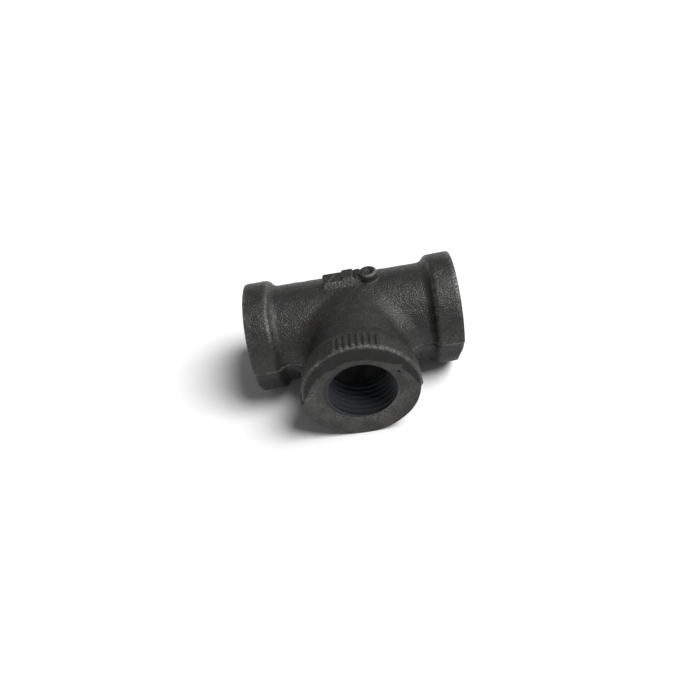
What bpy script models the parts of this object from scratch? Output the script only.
"""Banded malleable iron tee for 3/8 inch taper pipe thread.

The fitting is one casting with three threaded ends. It lies flat: the run is
along X, the branch points to -Y, and the bands rest on the ground plane.
The origin is at the middle of the fitting's footprint, on the ground.
"""

import math

import bpy
from mathutils import Matrix, Vector

MM = 0.001
INCH = 25.4 * MM

# Casting
CENTRE_TO_END = 0.95 * INCH
BAND_RADIUS = 13.0 * MM
BAND_WIDTH = 5.2 * MM
BAND_EDGE_RADIUS = 0.8 * MM
SHOULDER_LENGTH = 2.3 * MM
BODY_RADIUS = 11.45 * MM
BRANCH_BODY_RADIUS = 11.35 * MM
CROTCH_RADIUS = 4.6 * MM
CORE_RADIUS = 8.85 * MM
BRANCH_CORE_RADIUS = 8.7 * MM
CORE_THROAT_RADIUS = 6.8 * MM

# Internal taper thread, 18 to the inch, 1 in 16 on the diameter
PITCH = INCH / 18
THREAD_LENGTH = 9.3 * MM
PITCH_RADIUS_AT_FACE = 0.62701 * INCH / 2
THREAD_HEIGHT = 0.8 * PITCH
RADIUS_TAPER = 1 / 32
MOUTH_CHAMFER = 0.25 * MM
MOUTH_DEPTH = 3.0 * MM
RUN_OUT = 1.4 * PITCH

# Raised features left by the mould. A root is how far down a feature starts, inside the casting.
PAD_SIZE = (8.8 * MM, 4.4 * MM)
PAD_CENTRE = (-1.05 * MM, 1.4 * MM)
PAD_ROOT = 9.0 * MM
PAD_TOP = 12.45 * MM
PAD_SPREAD = 0.5 * MM
BOSS_CENTRE = (5.1 * MM, 0.9 * MM)
BOSS_RADIUS = 2.05 * MM
BOSS_ROOT = 8.0 * MM
BOSS_TOP = 13.2 * MM
BOSS_EDGE = 0.35 * MM
DIMPLE_RADIUS = 1.1 * MM
DIMPLE_FLOOR_RADIUS = 0.4 * MM
DIMPLE_DEPTH = 0.5 * MM
BAR_COUNT = 8
BAR_ARC = (math.radians(-19), math.radians(21.5))
BAR_SIZE = (0.6 * MM, 3.2 * MM)
BAR_ROOT_DEPTH = 0.6 * MM
BAR_HEIGHT = 0.3 * MM
BAR_SPREAD = 0.15 * MM

# The web that fills the corners between the run and the branch
WEB_LEVELS = 18
WEB_TOP_TILT = math.radians(80)
WEB_SINK = 0.12 * MM

# Fineness
ROUND_SEGMENTS = 48
BOSS_SEGMENTS = 24
THREAD_SEGMENTS = 32
THREAD_POINTS = 2
ARC_STEPS = 4
SHARP_ANGLE = math.radians(35)
OVERRUN = 1.0 * MM

# The three axes cross here, in the fitting's own frame.
CROSSING = Vector((0, (CENTRE_TO_END - BAND_RADIUS) / 2, BAND_RADIUS))
TO_POSITIVE_X = Matrix.Identity(4)
TO_NEGATIVE_X = Matrix.Rotation(math.pi, 4, "Z")
TO_NEGATIVE_Y = Matrix.Rotation(-math.pi / 2, 4, "Z")
ENDS = (TO_POSITIVE_X, TO_NEGATIVE_X, TO_NEGATIVE_Y)


def clear_scene():
    for obj in list(bpy.data.objects):
        bpy.data.objects.remove(obj)


def make_object(name, points, faces):
    """An object whose mesh is given around the crossing of the three axes."""
    mesh = bpy.data.meshes.new(name)
    mesh.from_pydata(points, [], faces)
    mesh.update()
    mesh.shade_smooth()
    mesh.set_sharp_from_angle(angle=SHARP_ANGLE)
    obj = bpy.data.objects.new(name, mesh)
    obj.location = CROSSING
    bpy.context.scene.collection.objects.link(obj)
    return obj


def make_helper(name, points, faces):
    obj = make_object(name, points, faces)
    obj.hide_render = True
    obj.display_type = "WIRE"
    return obj


def join_bodies(bodies):
    """One list of points and one of faces, from several."""
    points = []
    faces = []
    for body_points, body_faces in bodies:
        start = len(points)
        points.extend(body_points)
        faces.extend([start + index for index in face] for face in body_faces)
    return points, faces


def turned(outline, turn, segments=ROUND_SEGMENTS):
    """A body turned round the X axis, with flat ends. The outline lists (x, radius) with x rising."""
    points = []
    faces = []
    for along, radius in outline:
        for step in range(segments):
            angle = 2 * math.pi * step / segments
            points.append(turn @ Vector((along, radius * math.cos(angle), radius * math.sin(angle))))
    for row in range(len(outline) - 1):
        for step in range(segments):
            after = (step + 1) % segments
            low = row * segments
            high = low + segments
            faces.append((low + step, low + after, high + after, high + step))
    faces.append(tuple(reversed(range(segments))))
    last = (len(outline) - 1) * segments
    faces.append(tuple(range(last, last + segments)))
    return points, faces


def end_outline(body_radius):
    """(x, radius) along one end, from the body out to the face: shoulder, band and rounded edge."""
    shoulder_start = CENTRE_TO_END - BAND_WIDTH - SHOULDER_LENGTH
    outline = []
    for step in range(ARC_STEPS + 1):
        share = step / ARC_STEPS
        rise = share * share * (3 - 2 * share)
        radius = body_radius + (BAND_RADIUS - body_radius) * rise
        outline.append((shoulder_start + SHOULDER_LENGTH * share, radius))
    for step in range(ARC_STEPS + 1):
        angle = math.pi / 2 * step / ARC_STEPS
        along = CENTRE_TO_END - BAND_EDGE_RADIUS * (1 - math.sin(angle))
        outline.append((along, BAND_RADIUS - BAND_EDGE_RADIUS * (1 - math.cos(angle))))
    return outline


def run_body():
    outer = end_outline(BODY_RADIUS)
    mirrored = [(-along, radius) for along, radius in reversed(outer)]
    return turned(mirrored + outer, TO_POSITIVE_X)


def branch_body():
    return turned([(0, BRANCH_BODY_RADIUS)] + end_outline(BRANCH_BODY_RADIUS), TO_NEGATIVE_Y)


def crotch_web():
    """The fillet in both corners between the run and the branch, fading out towards the crown."""
    loops = []
    for level in range(WEB_LEVELS + 1):
        tilt = WEB_TOP_TILT * (2 * level / WEB_LEVELS - 1)
        height = BODY_RADIUS * math.sin(tilt)
        half = BODY_RADIUS * math.cos(tilt)
        fillet = CROTCH_RADIUS * math.cos(tilt)
        middle = half + fillet
        corner = []
        for step in range(ARC_STEPS + 1):
            angle = math.pi / 2 * step / ARC_STEPS
            across = middle - (fillet + WEB_SINK) * math.cos(angle)
            along = middle - (fillet + WEB_SINK) * math.sin(angle)
            corner.append((across, -along))
        left = [(-across, along) for across, along in reversed(corner)]
        loops.append([Vector((x, y, height)) for x, y in left + corner])
    count = len(loops[0])
    points = [point for loop in loops for point in loop]
    faces = [tuple(reversed(range(count)))]
    for level in range(WEB_LEVELS):
        for step in range(count):
            after = (step + 1) % count
            low = level * count
            high = low + count
            faces.append((low + step, low + after, high + after, high + step))
    faces.append(tuple(WEB_LEVELS * count + step for step in range(count)))
    return points, faces


def tapered_block(size, bottom, top, spread):
    """A block with its base wider than its top by the spread on every side."""
    points = []
    for height, extra in ((bottom, spread), (top, 0)):
        half_x = size[0] / 2 + extra
        half_y = size[1] / 2 + extra
        points += [
            Vector((-half_x, -half_y, height)),
            Vector((half_x, -half_y, height)),
            Vector((half_x, half_y, height)),
            Vector((-half_x, half_y, height)),
        ]
    sides = [(step, (step + 1) % 4, 4 + (step + 1) % 4, 4 + step) for step in range(4)]
    return points, [(3, 2, 1, 0)] + sides + [(4, 5, 6, 7)]


def placed(body, matrix):
    points, faces = body
    return [matrix @ point for point in points], faces


def raised_pad():
    block = tapered_block(PAD_SIZE, PAD_ROOT, PAD_TOP, PAD_SPREAD)
    return placed(block, Matrix.Translation((*PAD_CENTRE, 0)))


def boss_axis():
    """Turns the X axis up and moves it to the boss."""
    return Matrix.Translation((*BOSS_CENTRE, 0)) @ Matrix.Rotation(-math.pi / 2, 4, "Y")


def dimpled_boss():
    outline = [
        (BOSS_ROOT, BOSS_RADIUS + BOSS_EDGE),
        (BOSS_TOP - BOSS_EDGE, BOSS_RADIUS),
        (BOSS_TOP, BOSS_RADIUS - BOSS_EDGE),
    ]
    return turned(outline, boss_axis(), BOSS_SEGMENTS)


def boss_dimple():
    flare = (DIMPLE_RADIUS - DIMPLE_FLOOR_RADIUS) / DIMPLE_DEPTH
    outline = [
        (BOSS_TOP - DIMPLE_DEPTH, DIMPLE_FLOOR_RADIUS),
        (BOSS_TOP + OVERRUN, DIMPLE_RADIUS + flare * OVERRUN),
    ]
    return turned(outline, boss_axis(), BOSS_SEGMENTS)


def band_bars():
    """A row of plain raised bars across the crown of the branch's band."""
    bars = []
    middle = -(CENTRE_TO_END - BAND_EDGE_RADIUS - (BAND_WIDTH - BAND_EDGE_RADIUS) / 2)
    for index in range(BAR_COUNT):
        share = index / (BAR_COUNT - 1)
        angle = BAR_ARC[0] + share * (BAR_ARC[1] - BAR_ARC[0])
        block = tapered_block(BAR_SIZE, BAND_RADIUS - BAR_ROOT_DEPTH, BAND_RADIUS + BAR_HEIGHT, BAR_SPREAD)
        turn = Matrix.Rotation(angle, 4, "Y") @ Matrix.Translation((0, middle, 0))
        bars.append(placed(block, turn))
    return join_bodies(bars)


def core_outline(core_radius):
    """The hollow left by the sand core, closing in to the throat where the thread starts."""
    throat = CENTRE_TO_END - THREAD_LENGTH
    slope_length = core_radius - CORE_THROAT_RADIUS
    return [(throat - slope_length, core_radius), (throat, CORE_THROAT_RADIUS)]


def run_core():
    outer = core_outline(CORE_RADIUS)
    mirrored = [(-along, radius) for along, radius in reversed(outer)]
    return turned(mirrored + outer, TO_POSITIVE_X)


def branch_core():
    return turned([(0, BRANCH_CORE_RADIUS)] + core_outline(BRANCH_CORE_RADIUS), TO_NEGATIVE_Y)


def thread_radius(along, crest):
    """Radius of the thread at a place along the axis: its crest is the tooth's tip, nearest the axis."""
    pitch_radius = PITCH_RADIUS_AT_FACE + (along - CENTRE_TO_END) * RADIUS_TAPER
    half_height = THREAD_HEIGHT / 2
    return pitch_radius - half_height if crest else pitch_radius + half_height


def thread_plug(turn):
    """The solid that cuts one right-hand taper thread, from the core out past the face."""
    start = CENTRE_TO_END - THREAD_LENGTH - RUN_OUT
    turns = math.ceil((CENTRE_TO_END + OVERRUN - start) / PITCH)
    rows = turns * THREAD_POINTS
    points = []
    for column in range(THREAD_SEGMENTS):
        share = column / THREAD_SEGMENTS
        angle = 2 * math.pi * share
        for row in range(rows + 1):
            along = start + PITCH * (share + row / THREAD_POINTS)
            radius = thread_radius(along, row % THREAD_POINTS == 0)
            points.append(turn @ Vector((along, radius * math.cos(angle), radius * math.sin(angle))))
    stride = rows + 1
    faces = []
    for column in range(THREAD_SEGMENTS - 1):
        for row in range(rows):
            low = column * stride + row
            faces.append((low, low + 1, low + stride + 1, low + stride))
    seam = (THREAD_SEGMENTS - 1) * stride
    for row in range(rows - THREAD_POINTS):
        faces.append((seam + row, seam + row + 1, row + THREAD_POINTS + 1, row + THREAD_POINTS))
    inner_loop = [column * stride for column in range(THREAD_SEGMENTS)]
    inner_loop += list(range(THREAD_POINTS, 0, -1))
    outer_loop = [column * stride + rows for column in range(THREAD_SEGMENTS)]
    outer_loop += [seam + rows - step for step in range(1, THREAD_POINTS + 1)]
    inner_tip = len(points)
    points.append(turn @ Vector((start, 0, 0)))
    outer_tip = len(points)
    points.append(turn @ Vector((start + PITCH * (turns + 1), 0, 0)))
    for index, corner in enumerate(inner_loop):
        faces.append((inner_tip, corner, inner_loop[(index + 1) % len(inner_loop)]))
    for index, corner in enumerate(outer_loop):
        faces.append((outer_tip, outer_loop[(index + 1) % len(outer_loop)], corner))
    return points, [face[::-1] for face in faces]


def mouth_cone(turn):
    """The countersink at the mouth of one end."""
    mouth = PITCH_RADIUS_AT_FACE - THREAD_HEIGHT / 2 + MOUTH_CHAMFER
    outline = [
        (CENTRE_TO_END - MOUTH_DEPTH, mouth - MOUTH_DEPTH),
        (CENTRE_TO_END + OVERRUN, mouth + OVERRUN),
    ]
    return turned(outline, turn)


def combine(target, operation, helper):
    modifier = target.modifiers.new(helper.name, "BOOLEAN")
    modifier.operation = operation
    modifier.object = helper
    modifier.solver = "EXACT"


def black_iron():
    material = bpy.data.materials.new("black_malleable_iron")
    material.use_nodes = True
    shader = material.node_tree.nodes["Principled BSDF"]
    shader.inputs["Base Color"].default_value = (0.045, 0.046, 0.044, 1)
    shader.inputs["Metallic"].default_value = 0.4
    shader.inputs["Roughness"].default_value = 0.55
    return material


def make_tee():
    tee = make_object("tee_casting", *run_body())
    added = (
        ("raised_pad", raised_pad()),
        ("dimpled_boss", dimpled_boss()),
        ("branch_body", branch_body()),
        ("band_bars", band_bars()),
        ("crotch_web", crotch_web()),
    )
    removed = (
        ("boss_dimple", boss_dimple()),
        ("run_core", run_core()),
        ("branch_core", branch_core()),
        ("mouth_cones", join_bodies([mouth_cone(turn) for turn in ENDS])),
        ("thread_plugs", join_bodies([thread_plug(turn) for turn in ENDS])),
    )
    for name, body in added:
        combine(tee, "UNION", make_helper(name, *body))
    for name, body in removed:
        combine(tee, "DIFFERENCE", make_helper(name, *body))
    tee.data.materials.append(black_iron())


clear_scene()
make_tee()
